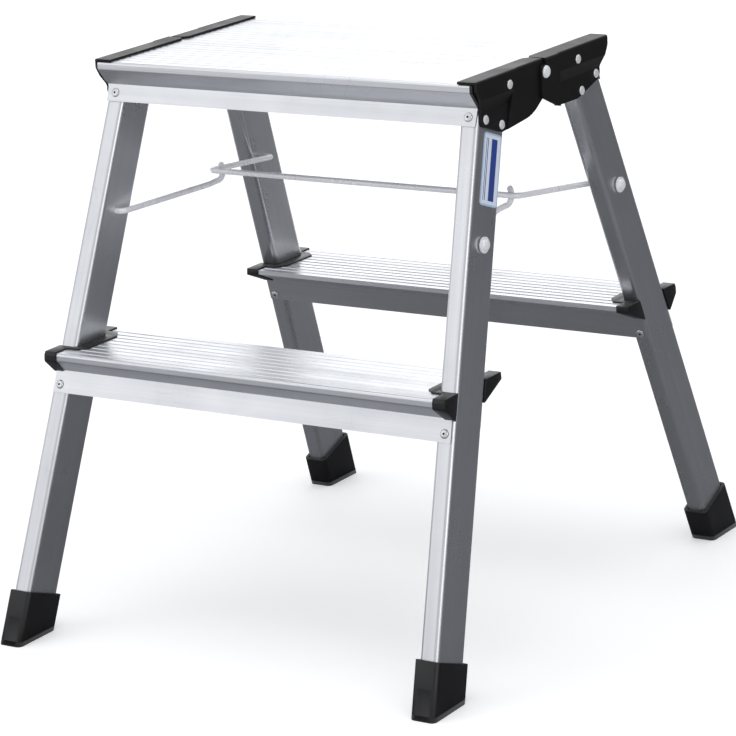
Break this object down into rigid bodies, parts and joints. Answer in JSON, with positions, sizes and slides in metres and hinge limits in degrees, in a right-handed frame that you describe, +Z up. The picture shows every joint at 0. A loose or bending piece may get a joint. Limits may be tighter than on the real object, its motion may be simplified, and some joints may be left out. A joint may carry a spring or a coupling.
{
  "type": "folding step stool",
  "caption": "Folding aluminium step stool with steps on both sides of a shared platform, splayed tube legs, plastic feet and a folding wire stay.",
  "frame": {"origin": "on the floor, under the middle of the platform", "axes": "+X along the steps to the right of someone who faces the front step from outside, +Y from the front step to the rear step, +Z up"},
  "size_m": [0.4286, 0.5222, 0.47],
  "materials": {
    "stile_aluminium": "satin",
    "tread_aluminium": "satin",
    "rivet_aluminium": "bright",
    "zinc_steel": "zinc plated",
    "black_steel": "satin",
    "black_plastic": "satin"
  },
  "bodies": {
    "front_frame": {"front_left_stile": "stile_aluminium", "front_right_stile": "stile_aluminium", "front_platform": "tread_aluminium", "front_platform_spacer": "black_plastic", "front_step": "tread_aluminium", "front_left_step_cap": "black_plastic", "front_right_step_cap": "black_plastic", "front_left_hinge_plate": "black_steel", "front_right_hinge_plate": "black_steel", "front_left_foot": "black_plastic", "front_right_foot": "black_plastic", "front_platform_rivets": "rivet_aluminium", "front_step_rivets": "rivet_aluminium", "front_hinge_plate_rivets": "rivet_aluminium", "left_hinge_pin": "zinc_steel"},
    "rear_frame": {"rear_left_stile": "stile_aluminium", "rear_right_stile": "stile_aluminium", "rear_platform": "tread_aluminium", "rear_platform_spacer": "black_plastic", "rear_step": "tread_aluminium", "rear_left_step_cap": "black_plastic", "rear_right_step_cap": "black_plastic", "rear_left_hinge_plate": "black_steel", "rear_right_hinge_plate": "black_steel", "rear_left_foot": "black_plastic", "rear_right_foot": "black_plastic", "rear_platform_rivets": "rivet_aluminium", "rear_step_rivets": "rivet_aluminium", "rear_hinge_plate_rivets": "rivet_aluminium", "right_hinge_pin": "zinc_steel"},
    "stay_bow": {"stay_bow": "zinc_steel", "stay_bow_washers": "zinc_steel"},
    "left_link": {"left_stay_link": "zinc_steel", "left_stay_link_washer": "zinc_steel"},
    "right_link": {"right_stay_link": "zinc_steel", "right_stay_link_washer": "zinc_steel"}
  },
  "joints": [
    {"name": "fold", "type": "hinge", "parent": "front_frame", "child": "rear_frame", "pos_m": [0, 0, 0.459], "axis": [-1, 0, 0], "range_deg": [0, 49]},
    {"name": "bow_swing", "type": "hinge", "parent": "rear_frame", "child": "stay_bow", "pos_m": [0, 0.11126, 0.3425], "axis": [-1, 0, 0], "range_deg": [0, 34.2]},
    {"name": "left_link_swing", "type": "hinge", "parent": "front_frame", "child": "left_link", "pos_m": [-0.18, -0.11126, 0.3425], "axis": [1, 0, 0], "range_deg": [0, 28.8]},
    {"name": "right_link_swing", "type": "hinge", "parent": "front_frame", "child": "right_link", "pos_m": [0.18, -0.11126, 0.3425], "axis": [1, 0, 0], "range_deg": [0, 28.8]}
  ],
  "couplings": [
    {"joint": "bow_swing", "follows": "fold", "ratio": 0.69528},
    {"joint": "left_link_swing", "follows": "fold", "ratio": 0.58559},
    {"joint": "right_link_swing", "follows": "fold", "ratio": 0.58559}
  ]
}
